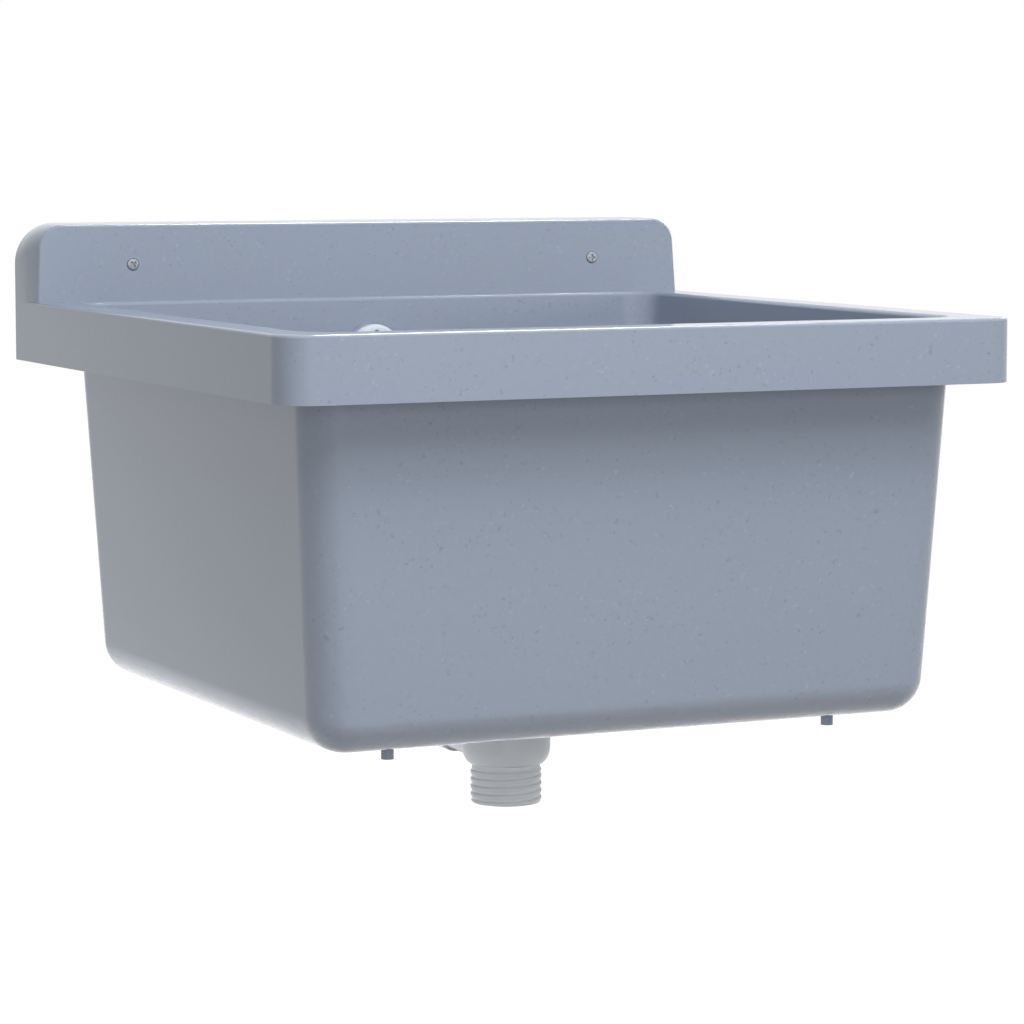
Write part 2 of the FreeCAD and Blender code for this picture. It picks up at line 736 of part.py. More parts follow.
def hose_bore():
    """The hose's bore: two straight runs and the bend between them."""
    upright, _, level = hose_runs()
    down = cylinder(pipe_bore_radius, upright + overrun, Vector(0, hose_y, hose_bend_z))
    disc = Part.Face(Part.Wire(Part.makeCircle(pipe_bore_radius, Vector(0, hose_y, hose_bend_z), Z_AXIS)))
    bend = disc.revolve(Vector(0, hose_bend_y, hose_bend_z), -X_AXIS, 90)
    along = cylinder(pipe_bore_radius, level + overrun, Vector(0, port_end_y - overrun, port_z), Y_AXIS)
    return down.fuse([bend, along])


def make_overflow_hose():
    """The ribbed hose from the elbow to the waste body's port, plain for one diameter at each end."""
    length = sum(hose_runs())
    plain = 2 * hose_crest_radius
    count = int((length - 2 * plain) / hose_pitch)
    start = (length - count * hose_pitch) / 2
    radii = (hose_root_radius, hose_crest_radius, hose_crest_radius, hose_root_radius)
    wires = [hose_circle(0, pipe_radius), hose_circle(start - hose_pitch / 2, pipe_radius)]
    for i in range(count):
        for share, radius in zip(hose_rib_shares, radii):
            wires.append(hose_circle(start + (i + share) * hose_pitch, radius))
    wires += [hose_circle(length - start + hose_pitch / 2, pipe_radius), hose_circle(length, pipe_radius)]
    body = Part.makeLoft(wires, True, True).cut(hose_bore())
    section = math.pi * (((hose_root_radius + hose_crest_radius) / 2) ** 2 - pipe_bore_radius ** 2)
    print("hose: length", round(length, 1), "ribs", count, "bend radius", hose_bend_radius,
          "volume", round(body.Volume), "mean section times length", round(section * length))
    return body


def make_hose_cuffs():
    """The two push-on cuffs that join the hose to the elbow and to the port."""
    inner = pipe_radius + cuff_clearance
    upper = tube(cuff_radius, inner, cuff_length, Vector(0, hose_y, elbow_end_z - cuff_length / 2))
    lower = tube(cuff_radius, inner, cuff_length, Vector(0, port_end_y - cuff_length / 2, port_z), Y_AXIS)
    return [upper, lower]


def export(node, shape):
    """Writes one node; a list of solids becomes one group."""
    solids = shape if isinstance(shape, list) else [shape]
    whole = solids[0] if len(solids) == 1 else Part.makeCompound(solids)
    valid = all(s.isValid() and len(s.Solids) == 1 for s in solids)
    print(node, "solids", len(whole.Solids), "volume", round(whole.Volume, 1), "valid", valid)
    whole.exportStep(f"parts/{node}.step")


NODES = {
    "basin": make_basin,
    "wall_screws": make_wall_screws,
    "strainer": make_strainer,
    "strainer_seal": make_strainer_seal,
    "strainer_screw": make_strainer_screw,
    "waste_seal": make_waste_seal,
    "waste_body": make_waste_body,
    "waste_nut": make_waste_nut,
    "drain_plug": make_drain_plug,
    "plug_eye": make_plug_eye,
    "plug_ring": make_plug_ring,
    "overflow_rosette": make_overflow_rosette,
    "overflow_screw": make_overflow_screw,
    "overflow_seal": make_overflow_seal,
    "overflow_elbow": make_overflow_elbow,
    "overflow_nut": make_overflow_nut,
    "overflow_hose": make_overflow_hose,
    "hose_cuffs": make_hose_cuffs,
}

for node_name, maker in NODES.items():
    export(node_name, maker())
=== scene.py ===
"""The looks of a wall-mounted utility sink: finishes, threads, a ribbed hose and a plain studio.

Metres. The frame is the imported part's own: +X is right seen from the front, +Y goes into the wall, +Z is up.
"""
import json
import logging
import math
from collections.abc import Callable
from dataclasses import dataclass
from enum import Enum

import bmesh
import bpy
from mathutils import Matrix, Vector


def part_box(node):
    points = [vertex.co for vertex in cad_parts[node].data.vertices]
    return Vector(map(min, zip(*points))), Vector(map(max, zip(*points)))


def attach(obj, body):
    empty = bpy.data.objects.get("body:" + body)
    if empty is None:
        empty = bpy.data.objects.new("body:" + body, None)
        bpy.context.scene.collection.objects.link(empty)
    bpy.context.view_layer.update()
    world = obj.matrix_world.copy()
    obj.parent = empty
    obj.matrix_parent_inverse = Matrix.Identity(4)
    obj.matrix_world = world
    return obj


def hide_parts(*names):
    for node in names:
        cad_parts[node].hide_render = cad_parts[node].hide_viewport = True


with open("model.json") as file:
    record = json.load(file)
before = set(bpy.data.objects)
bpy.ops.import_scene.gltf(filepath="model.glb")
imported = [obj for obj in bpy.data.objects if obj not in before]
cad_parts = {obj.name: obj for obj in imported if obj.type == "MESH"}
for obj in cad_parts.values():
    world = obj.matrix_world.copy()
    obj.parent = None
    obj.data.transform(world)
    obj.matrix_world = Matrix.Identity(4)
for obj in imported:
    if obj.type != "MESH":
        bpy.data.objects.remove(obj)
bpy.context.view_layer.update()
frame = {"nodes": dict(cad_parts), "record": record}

Colour = tuple[float, float, float]
Place = tuple[float, float, float]
Chooser = Callable[[Vector], bool]
Value = object

log = logging.getLogger("utility_sink")

MM = 0.001
MERGE_DISTANCE = 0.002 * MM
LARGE_FACE_WEIGHT = 100
INTO_WALL = Vector((0.0, 1.0, 0.0))
WHITE: Colour = (1.0, 1.0, 1.0)


class NodeGraph:
    """A node tree with short calls to add nodes and join their sockets."""

    def __init__(self, tree: bpy.types.NodeTree) -> None:
        """Wraps a tree.

        Args:
            tree: the shader or geometry tree to fill.
        """
        self.tree = tree

    def add(self, kind: str, inputs: dict[str | int, Value] | None = None,
            **settings: Value) -> bpy.types.Node:
        """Adds one node.

        Args:
            kind: the node's type name.
            inputs: what goes into its sockets, by name or number; a socket is joined, a plain value is set.
            settings: the node's own properties.

        Returns:
            The new node.
        """
        node = self.tree.nodes.new(kind)
        for name, value in settings.items():
            setattr(node, name, value)
        for key, value in (inputs or {}).items():
            self.put(value, node.inputs[key])
        return node

    def put(self, value: Value, socket: bpy.types.NodeSocket) -> None:
        """Joins a socket to an input, or sets a plain value on it.

        Args:
            value: an output socket or a plain value.
            socket: the input that takes it.
        """
        if isinstance(value, bpy.types.NodeSocket):
            self.tree.links.new(value, socket)
        else:
            socket.default_value = value

    def math(self, operation: str, a: Value, b: Value = 0.0, clamp: bool = False) -> bpy.types.NodeSocket:
        """One sum on two numbers.

        Args:
            operation: the sum's name.
            a: the first number or socket.
            b: the second number or socket.
            clamp: whether the result is kept between 0 and 1.

        Returns:
            The result's socket.
        """
        return self.add("ShaderNodeMath", {0: a, 1: b}, operation=operation, use_clamp=clamp).outputs[0]

    def step(self, value: Value, low: float, high: float) -> bpy.types.NodeSocket:
        """A smooth rise from 0 at low to 1 at high."""
        inputs = {"Value": value, "From Min": low, "From Max": high}
        return self.add("ShaderNodeMapRange", inputs, interpolation_type="SMOOTHSTEP").outputs["Result"]

    def spread(self, value: Value, low: float, high: float) -> bpy.types.NodeSocket:
        """Spreads a value from 0 to 1 over low to high."""
        inputs = {"Value": value, "To Min": low, "To Max": high}
        return self.add("ShaderNodeMapRange", inputs).outputs["Result"]

    def blend(self, share: Value, a: Value, b: Value, kind: str = "MIX") -> bpy.types.NodeSocket:
        """Blends two colours.

        Args:
            share: how much of the second colour shows.
            a: the first colour or socket.
            b: the second colour or socket.
            kind: how the second colour is laid over the first.

        Returns:
            The blended colour's socket.
        """
        node = self.add("ShaderNodeMix", data_type="RGBA", blend_type=kind)
        for key, value in (("Factor_Float", share), ("A_Color", a), ("B_Color", b)):
            self.put(value, next(s for s in node.inputs if s.identifier == key))
        return next(s for s in node.outputs if s.identifier == "Result_Color")

    def noise(self, place: Value, scale: float, detail: float = 2.0) -> bpy.types.NodeSocket:
        """Soft random values from 0 to 1 over space.

        Args:
            place: the coordinates.
            scale: waves for each metre.
            detail: how many finer layers lie on top.

        Returns:
            The value's socket.
        """
        inputs = {"Vector": place, "Scale": scale, "Detail": detail}
        return self.add("ShaderNodeTexNoise", inputs).outputs["Fac"]


def rgba(colour: Colour, share: float = 1.0) -> tuple[float, float, float, float]:
    """A colour, scaled by a share, with full alpha."""
    return (*(share * c for c in colour), 1.0)


@dataclass(frozen=True)
class Finish:
    """What every finish of the sink has: a name, a colour and a roughness, each with a little variation."""

    name: str
    colour: Colour
    roughness: float
    roughness_spread: float = 0.04
    mottle_scale: float = 60.0
    mottle_share: float = 0.04
    grain_scale: float = 1400.0
    grain_depth: float = 0.02 * MM
    grain_detail: float = 3.0
    metallic: float = 0.0

    def colour_socket(self, graph: NodeGraph, place: bpy.types.NodeSocket) -> bpy.types.NodeSocket:
        """The surface's colour with its mottling.

        Args:
            graph: the material's tree.
            place: the piece's own coordinates.

        Returns:
            The colour's socket.
        """
        mottle = graph.noise(place, self.mottle_scale)
        dark = rgba(self.colour, 1 - self.mottle_share)
        light = rgba(self.colour, 1 + self.mottle_share)
        return graph.blend(mottle, dark, light)

    def grain_place(self, graph: NodeGraph, place: bpy.types.NodeSocket) -> bpy.types.NodeSocket:
        """The coordinates that the fine grain follows."""
        return place

    def material(self) -> bpy.types.Material:
        """The finish as a node material, made once for all pieces that share it.

        Returns:
            The material.
        """
        if self.name in bpy.data.materials:
            return bpy.data.materials[self.name]
        material = bpy.data.materials.new(self.name)
        material.use_nodes = True
        graph = NodeGraph(material.node_tree)
        shader = graph.tree.nodes["Principled BSDF"]
        place = graph.add("ShaderNodeTexCoord").outputs["Object"]
        grain = graph.noise(self.grain_place(graph, place), self.grain_scale, self.grain_detail)
        low, high = self.roughness - self.roughness_spread, self.roughness + self.roughness_spread
        bump = graph.add("ShaderNodeBump", {"Height": grain, "Distance": self.grain_depth})
        graph.put(self.colour_socket(graph, place), shader.inputs["Base Color"])
        graph.put(graph.spread(grain, low, high), shader.inputs["Roughness"])
        graph.put(bump.outputs["Normal"], shader.inputs["Normal"])
        shader.inputs["Metallic"].default_value = self.metallic
        return material


@dataclass(frozen=True)
class SpeckLayer:
    """One kind of speck in the moulding: the peaks of a fine noise, so that their outlines are uneven.

    Attributes:
        scale: the noise's waves for each metre.
        edge: the noise values where a speck starts and where it is whole.
        tint: the share of the moulding's colour that a speck has.
        offset: how far the noise is moved, so that no two layers match.
    """

    scale: float
    edge: tuple[float, float]
    tint: float
    offset: float

    def mask(self, graph: NodeGraph, place: bpy.types.NodeSocket) -> bpy.types.NodeSocket:
        """Where the specks lie.

        Args:
            graph: the material's tree.
            place: the piece's own coordinates.

        Returns:
            A mask's socket, 1 in the middle of a strong speck.
        """
        inputs = {"Vector": place, "Location": (self.offset,) * 3}
        moved = graph.add("ShaderNodeMapping", inputs).outputs["Vector"]
        return graph.step(graph.noise(moved, self.scale), *self.edge)


@dataclass(frozen=True)
class SpeckledMoulding(Finish):
    """The basin's moulding: blue-grey plastic with clusters of dark and light specks, faint on its ends."""

    layers: tuple[SpeckLayer, ...] = (
        SpeckLayer(330.0, (0.62, 0.78), 0.78, 0.0),
        SpeckLayer(210.0, (0.65, 0.79), 0.82, 0.4),
        SpeckLayer(300.0, (0.62, 0.78), 1.15, 0.9),
    )
    end_mark: str = "faces_an_end"
    end_fade: float = 0.8
    cloud_scale: float = 7.0
    cloud_share: float = 0.015
    cluster_scale: float = 45.0
    cluster_edge: tuple[float, float] = (0.34, 0.58)

    def colour_socket(self, graph: NodeGraph, place: bpy.types.NodeSocket) -> bpy.types.NodeSocket:
        """The moulding's colour: fine mottling, slow clouds, then each layer of specks.

        Args:
            graph: the material's tree.
            place: the piece's own coordinates.

        Returns:
            The colour's socket.
        """
        base = super().colour_socket(graph, place)
        cloud = graph.noise(place, self.cloud_scale)
        tone = graph.spread(cloud, 1 - self.cloud_share, 1 + self.cloud_share)
        colour = graph.blend(1.0, base, tone, "MULTIPLY")
        clusters = graph.step(graph.noise(place, self.cluster_scale), *self.cluster_edge)
        ends = graph.add("ShaderNodeAttribute", attribute_name=self.end_mark).outputs["Fac"]
        shown = graph.math("MULTIPLY", clusters, graph.spread(ends, 1.0, 1 - self.end_fade))
        for layer in self.layers:
            share = graph.math("MULTIPLY", layer.mask(graph, place), shown)
            colour = graph.blend(share, colour, rgba(self.colour, layer.tint))
        return colour


@dataclass(frozen=True)
class BrushedMetal(Finish):
    """Metal whose fine grain is drawn out along one direction."""

    stretch: Place = (1.0, 1.0, 0.08)

    def grain_place(self, graph: NodeGraph, place: bpy.types.NodeSocket) -> bpy.types.NodeSocket:
        """The coordinates, drawn out along the brushing."""
        return graph.add("ShaderNodeMapping", {"Vector": place, "Scale": self.stretch}).outputs["Vector"]


BASIN_PLASTIC = SpeckledMoulding("speckled_moulding", (0.281, 0.328, 0.412), 0.14, 0.02, mottle_scale=230.0,
                                 mottle_share=0.03, grain_scale=60.0, grain_depth=0.0015 * MM)
PALE_PLASTIC = Finish("pale_moulding", (0.80, 0.825, 0.85), 0.34, mottle_share=0.015, grain_scale=700.0,
                      grain_depth=0.004 * MM)
HOSE_PLASTIC = Finish("hose_moulding", (0.72, 0.745, 0.765), 0.42, mottle_share=0.03, grain_depth=0.006 * MM)
WHITE_PLASTIC = Finish("white_moulding", (0.70, 0.755, 0.81), 0.16, mottle_share=0.015,
                       grain_depth=0.006 * MM)
STEEL = BrushedMetal("satin_steel", (0.60, 0.61, 0.62), 0.26, 0.07, metallic=1.0)
ZINC = BrushedMetal("zinc_plate", (0.44, 0.47, 0.51), 0.30, 0.06, metallic=0.45)
BRASS = Finish("turned_brass", (0.60, 0.45, 0.20), 0.28, metallic=1.0)
RUBBER = Finish("black_rubber", (0.022, 0.022, 0.024), 0.62, 0.08, mottle_share=0.2, grain_depth=0.05 * MM)
FINISHES: dict[str, Finish] = {
    "basin_plastic": BASIN_PLASTIC, "waste_plastic": PALE_PLASTIC, "hose_plastic": HOSE_PLASTIC,
    "white_plastic": WHITE_PLASTIC, "steel": STEEL, "brass": BRASS, "rubber": RUBBER,
}
SLOTS: dict[str, str] = {s["node"]: s["material_slot"] for s in frame["record"]["subparts"]}
BODIES: dict[str, str] = {
    node: body for body, nodes in frame["record"]["behaviour"]["bodies"].items() for node in nodes
}


class NodeTool:
    """A geometry tree with named inputs that turns a base object into one plain mesh."""

    def __init__(self, name: str, inputs: dict[str, str]) -> None:
        """Starts a tree.

        Args:
            name: the tree's name.
            inputs: the kind of each named input socket.
        """
        self.tree = bpy.data.node_groups.new(name, "GeometryNodeTree")
        self.graph = NodeGraph(self.tree)
        add = self.tree.interface.new_socket
        add("Geometry", in_out="OUTPUT", socket_type="NodeSocketGeometry")
        kinds = {"Geometry": "NodeSocketGeometry"} | inputs | {"Material": "NodeSocketMaterial"}
        self.sockets = {n: add(n, in_out="INPUT", socket_type=kind) for n, kind in kinds.items()}
        self.inputs = self.graph.add("NodeGroupInput").outputs

    def ridge(self, phase: bpy.types.NodeSocket) -> bpy.types.NodeSocket:
        """How high a ridge stands: 1 on its crest, then down its flanks to 0.

        Args:
            phase: the way through one pitch, from 0 to 1, with the crest in its middle.

        Returns:
            The height's socket.
        """
        g, i = self.graph, self.inputs
        off_crest = g.math("ABSOLUTE", g.math("SUBTRACT", phase, 0.5))
        half = g.math("ADD", g.math("MULTIPLY", i["Crest Share"], 0.5), i["Flank Share"])
        return g.math("DIVIDE", g.math("SUBTRACT", half, off_crest), i["Flank Share"], clamp=True)

    def close(self, geometry: bpy.types.NodeSocket) -> None:
        """Ends the tree: instances made real and the material set.

        Args:
            geometry: what the tree has made.
        """
        real = self.graph.add("GeometryNodeRealizeInstances", {"Geometry": geometry})
        inputs = {"Geometry": real.outputs[0], "Material": self.inputs["Material"]}
        dressed = self.graph.add("GeometryNodeSetMaterial", inputs)
        self.graph.add("NodeGroupOutput", {0: dressed.outputs[0]})

    def mesh(self, base: bpy.types.ID, values: dict[str, Value]) -> bpy.types.Mesh:
        """Runs the tree once.

        Args:
            base: the curve or mesh that the tree starts from.
            values: a value for each named input.

        Returns:
            The finished plain mesh.
        """
        holder = bpy.data.objects.new(self.tree.name, base)
        bpy.context.scene.collection.objects.link(holder)
        modifier = holder.modifiers.new(self.tree.name, "NODES")
        modifier.node_group = self.tree
        for name, value in values.items():
            modifier[self.sockets[name].identifier] = value
        graph = bpy.context.evaluated_depsgraph_get()
        made = bpy.data.meshes.new_from_object(holder.evaluated_get(graph))
        holder.modifiers.remove(modifier)
        bpy.data.objects.remove(holder)
        return made


class HelixThread(NodeTool):
    """A helical thread as one sheet round a stem: grooves between flat ridges that fade at both ends."""

    def __init__(self) -> None:
        """Builds the tree: a grid wrapped on a cylinder whose radius follows the ridge."""
        floats = ("Root Radius", "Crest Radius", "Pitch", "Length", "Tip Length", "Tip Share", "Crest Share",
                  "Flank Share", "Fade Turns")
        kinds = {n: "NodeSocketFloat" for n in floats} | {"Sides": "NodeSocketInt", "Rings": "NodeSocketInt"}
        super().__init__("helix_thread", kinds)
        g, i = self.graph, self.inputs
        grid = g.add("GeometryNodeMeshGrid", {"Size X": 1.0, "Size Y": 1.0,
                                              "Vertices X": i["Sides"], "Vertices Y": i["Rings"]})
        place = g.add("ShaderNodeSeparateXYZ", {0: g.add("GeometryNodeInputPosition").outputs[0]}).outputs
        turn = g.math("ADD", place["X"], 0.5)
        along = g.math("MULTIPLY", g.math("ADD", place["Y"], 0.5), i["Length"])
        phase = g.math("FRACT", g.math("ADD", g.math("DIVIDE", along, i["Pitch"]), turn))
        fade_length = g.math("MULTIPLY", i["Fade Turns"], i["Pitch"])
        rest = g.math("SUBTRACT", i["Length"], along)
        fade = g.math("MULTIPLY", g.math("DIVIDE", along, fade_length, clamp=True),
                      g.math("DIVIDE", rest, fade_length, clamp=True))
        depth = g.math("SUBTRACT", i["Crest Radius"], i["Root Radius"])
        raised = g.math("MULTIPLY", g.math("MULTIPLY", self.ridge(phase), fade), depth)
        whole = g.math("ADD", i["Root Radius"], raised)
        to_tip = g.math("DIVIDE", rest, g.math("MAXIMUM", i["Tip Length"], MERGE_DISTANCE), clamp=True)
        narrowing = g.math("ADD", i["Tip Share"],
                           g.math("MULTIPLY", to_tip, g.math("SUBTRACT", 1.0, i["Tip Share"])))
        radius = g.math("MULTIPLY", whole, narrowing)
        angle = g.math("MULTIPLY", turn, 2 * math.pi)
        around = g.add("ShaderNodeCombineXYZ", {
            "X": g.math("MULTIPLY", radius, g.math("COSINE", angle)),
            "Y": g.math("MULTIPLY", radius, g.math("SINE", angle)),
            "Z": g.math("MULTIPLY", along, -1.0)})
        wrapped = g.add("GeometryNodeSetPosition", {"Geometry": grid.outputs["Mesh"],
                                                    "Position": around.outputs[0]})
        joined = g.add("GeometryNodeMergeByDistance", {"Geometry": wrapped.outputs[0],
                                                       "Distance": MERGE_DISTANCE})
        outward = g.add("GeometryNodeFlipFaces", {"Mesh": joined.outputs[0]})
        self.close(outward.outputs[0])


class RibbedHose(NodeTool):
    """A ribbed hose swept along a route: ribs on its outside, a plain bore and plain ends."""

    def __init__(self) -> None:
        """Builds the tree: the route is resampled, swollen at each rib and swept with a circle."""
        floats = ("Crest Radius", "Root Radius", "End Radius", "Bore Radius", "Pitch", "First Rib",
                  "Last Rib", "Crest Share", "Flank Share", "Step")
        kinds = {n: "NodeSocketFloat" for n in floats} | {"Sides": "NodeSocketInt"}
        super().__init__("ribbed_hose", kinds)
        g, i = self.graph, self.inputs
        stepped = {"Curve": i["Geometry"], "Length": i["Step"]}
        route = g.add("GeometryNodeResampleCurve", stepped, mode="LENGTH").outputs[0]
        along = g.add("GeometryNodeSplineParameter").outputs["Length"]
        since = g.math("SUBTRACT", along, i["First Rib"])
        phase = g.math("FRACT", g.math("DIVIDE", since, i["Pitch"]))
        rounded = g.step(self.ridge(phase), 0.0, 1.0)
        depth = g.math("SUBTRACT", i["Crest Radius"], i["Root Radius"])
        ribbed = g.math("ADD", i["Root Radius"], g.math("MULTIPLY", rounded, depth))
        started = g.math("GREATER_THAN", since, 0.0)
        inside = g.math("MULTIPLY", started, g.math("LESS_THAN", along, i["Last Rib"]))
        swell = g.math("MULTIPLY", inside, g.math("SUBTRACT", ribbed, i["End Radius"]))
        outer = self.sweep(route, g.math("ADD", i["End Radius"], swell))
        bore = g.add("GeometryNodeFlipFaces", {"Mesh": self.sweep(route, i["Bore Radius"])})
        both = g.add("GeometryNodeJoinGeometry")
        for part in (outer, bore.outputs[0]):
            g.put(part, both.inputs[0])
        self.close(both.outputs[0])

    def sweep(self, route: bpy.types.NodeSocket, radius: bpy.types.NodeSocket) -> bpy.types.NodeSocket:
        """Sweeps a circle of a changing radius along the route.

        Args:
            route: the resampled route.
            radius: the circle's radius along it.

        Returns:
            The swept sheet's socket.
        """
        round_shape = {"Resolution": self.inputs["Sides"], "Radius": 1.0}
        circle = self.graph.add("GeometryNodeCurvePrimitiveCircle", round_shape).outputs["Curve"]
        inputs = {"Curve": route, "Profile Curve": circle, "Scale": radius}
        return self.graph.add("GeometryNodeCurveToMesh", inputs).outputs[0]


class Workbench:
    """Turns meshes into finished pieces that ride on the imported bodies."""

    def __init__(self) -> None:
        """Prepares the shared geometry trees."""
        self.thread = HelixThread()
        self.hose = RibbedHose()

    def copy_of(self, node: str) -> bmesh.types.BMesh:
        """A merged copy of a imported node's mesh, to change freely.

        Args:
            node: the node's name.

        Returns:
            The copy.
        """
        made = bmesh.new()
        made.from_mesh(frame["nodes"][node].data)
        bmesh.ops.remove_doubles(made, verts=made.verts, dist=MERGE_DISTANCE)
        return made

    def open_edges(self, mesh: bmesh.types.BMesh, chosen: Chooser) -> list[bmesh.types.BMEdge]:
        """The open edges whose middles belong to one place."""
        return [e for e in mesh.edges if e.is_boundary and chosen((e.verts[0].co + e.verts[1].co) / 2)]

    def bridge(self, mesh: bmesh.types.BMesh, chosen: Chooser) -> None:
        """Joins the open edges in one place with a band of faces."""
        bmesh.ops.bridge_loops(mesh, edges=self.open_edges(mesh, chosen))

    def graft(self, mesh: bmesh.types.BMesh, sheet: bpy.types.Mesh, place: Matrix) -> None:
        """Adds a sheet to a mesh.

        Args:
            mesh: the mesh that takes the sheet.
            sheet: the sheet, made at the origin.
            place: where the sheet goes.
        """
        sheet.transform(place)
        mesh.from_mesh(sheet)
        bpy.data.meshes.remove(sheet)

    def piece(self, name: str, mesh: bmesh.types.BMesh, node: str, smooth_angle: float = 32.0,
              finish: Finish | None = None) -> bpy.types.Object:
        """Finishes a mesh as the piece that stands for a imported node.

        Args:
            name: the piece's name.
            mesh: its shape, in place.
            node: the node that it replaces, whose body it takes.
            smooth_angle: the largest turn, in degrees, that is shaded as one curved surface.
            finish: its finish, or None for the one of the node's slot.

        Returns:
            The finished object.
        """
        bmesh.ops.recalc_face_normals(mesh, faces=mesh.faces)
        for face in mesh.faces:
            face.smooth = True
            face.material_index = 0
        for edge in mesh.edges:
            edge.smooth = edge.is_manifold and edge.calc_face_angle() < math.radians(smooth_angle)
        data = bpy.data.meshes.new(name)
        mesh.to_mesh(data)
        mesh.free()
        made = bpy.data.objects.new(name, data)
        bpy.context.scene.collection.objects.link(made)
        weighted = made.modifiers.new("even_normals", "WEIGHTED_NORMAL")
        weighted.keep_sharp = True
        weighted.weight = LARGE_FACE_WEIGHT
        graph = bpy.context.evaluated_depsgraph_get()
        made.data = bpy.data.meshes.new_from_object(made.evaluated_get(graph))
        made.modifiers.remove(weighted)
        made.data.name = name
        bpy.data.meshes.remove(data)
        finish = finish or FINISHES[SLOTS[node]]
        made.data.materials.clear()
        made.data.materials.append(finish.material())
        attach(made, BODIES[node])
        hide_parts(node)
        log.info("piece %s: %d faces, %s, on %s", name, len(made.data.polygons), finish.name, BODIES[node])
        return made

    def dress(self, names: dict[str, str]) -> None:
        """Makes a piece of a merged copy of each node, by the node's name and the piece's."""
        for node, name in names.items():
            self.piece(name, self.copy_of(node), node)

    def keep(self, *nodes: str) -> None:
        """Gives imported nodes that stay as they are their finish.

        Args:
            nodes: the nodes' names.
        """
        for node in nodes:
            data = frame["nodes"][node].data
            data.materials.clear()
            data.materials.append(FINISHES[SLOTS[node]].material())
            log.info("node %s keeps its shape: %s, on %s", node, SLOTS[node], BODIES[node])


@dataclass
class Basin:
    """The one moulding: rim, backsplash, bowl and pegs."""

    bench: Workbench
    end_share: float = 0.9

    def build(self) -> bpy.types.Object:
        """The moulding with even shading, and a mark on the faces that look to an end.

        Returns:
            The finished piece.
        """
        made = self.bench.piece("basin_moulding", self.bench.copy_of("basin"), "basin")
        marks = made.data.attributes.new(BASIN_PLASTIC.end_mark, "FLOAT", "FACE")
        for face, mark in zip(made.data.polygons, marks.data):
            mark.value = float(abs(face.normal.x) > self.end_share)
        return made


@dataclass
class ThreadedScrew:
    """A screw that points into the wall, with a helical thread from one depth to its tip."""

    bench: Workbench
    length: float
    root_radius: float
    crest_radius: float
    pitch: float
    tip_length: float
    tip_share: float = 0.12
    crest_share: float = 0.12
    flank_share: float = 0.34
    fade_turns: float = 0.8
    rings_per_turn: int = 12
    sides: int = 33
    tolerance: float = 0.02 * MM
    clearance: float = 0.3 * MM

    @property
    def near(self) -> float:
        """The distance from the axis within which a place counts as on the stem."""
        return self.crest_radius + self.clearance

    def on_stem(self, place: Vector, start: Vector, least: float) -> bool:
        """Whether a place lies on the stem, past a depth.

        Args:
            place: the place to test.
            start: where the threaded stretch starts on the screw's axis.
            least: the depth from there that the place has to pass.

        Returns:
            True for a place on that stretch.
        """
        away = place - start
        depth = away.dot(INTO_WALL)
        return depth > least and (away - depth * INTO_WALL).length < self.near

    def thread(self, mesh: bmesh.types.BMesh, start: Vector, finish: Finish) -> None:
        """Puts the thread in place of the plain stem.

        Args:
            mesh: the screw's mesh.
            start: where the threaded stretch starts on the screw's axis.
            finish: the screw's finish.
        """
        plain = [f for f in mesh.faces if self.on_stem(f.calc_center_median(), start, self.tolerance)]
        bmesh.ops.delete(mesh, geom=plain, context="FACES")
        sheet = self.bench.thread.mesh(bpy.data.meshes.new("stem"), {
            "Root Radius": self.root_radius, "Crest Radius": self.crest_radius, "Pitch": self.pitch,
            "Length": self.length, "Tip Length": self.tip_length, "Tip Share": self.tip_share,
            "Crest Share": self.crest_share, "Flank Share": self.flank_share, "Fade Turns": self.fade_turns,
            "Sides": self.sides, "Rings": round(self.rings_per_turn * self.length / self.pitch),
            "Material": finish.material()})
        turn = INTO_WALL.to_track_quat("-Z", "Y").to_matrix().to_4x4()
        self.bench.graft(mesh, sheet, Matrix.Translation(start) @ turn)
        self.bench.bridge(mesh, lambda p: (p - start).length < self.near)
        tip = self.bench.open_edges(mesh, lambda p: self.on_stem(p, start, -self.tolerance))
        bmesh.ops.holes_fill(mesh, edges=tip, sides=0)


@dataclass
class WallFixings:
    """The two wall screws."""

    bench: Workbench
    spacing: float = 356.0 * MM
    smooth_angle: float = 26.0
    reach: float = 34.0 * MM
    crest_radius: float = 2.5 * MM
    root_radius: float = 1.75 * MM
    pitch: float = 2.2 * MM
    tip_length: float = 6.0 * MM

    def build(self) -> bpy.types.Object:
        """Both screws, as one group, with their threads behind the wall plane.

        Returns:
            The finished piece.
        """
        mesh = self.bench.copy_of("wall_screws")
        screw = ThreadedScrew(self.bench, self.reach, self.root_radius, self.crest_radius, self.pitch,
                              self.tip_length)
        for side in (-1, 1):
            screw.thread(mesh, Vector((side * self.spacing / 2, 0.0, 0.0)), ZINC)
        return self.bench.piece("fixing_screws", mesh, "wall_screws", self.smooth_angle, ZINC)


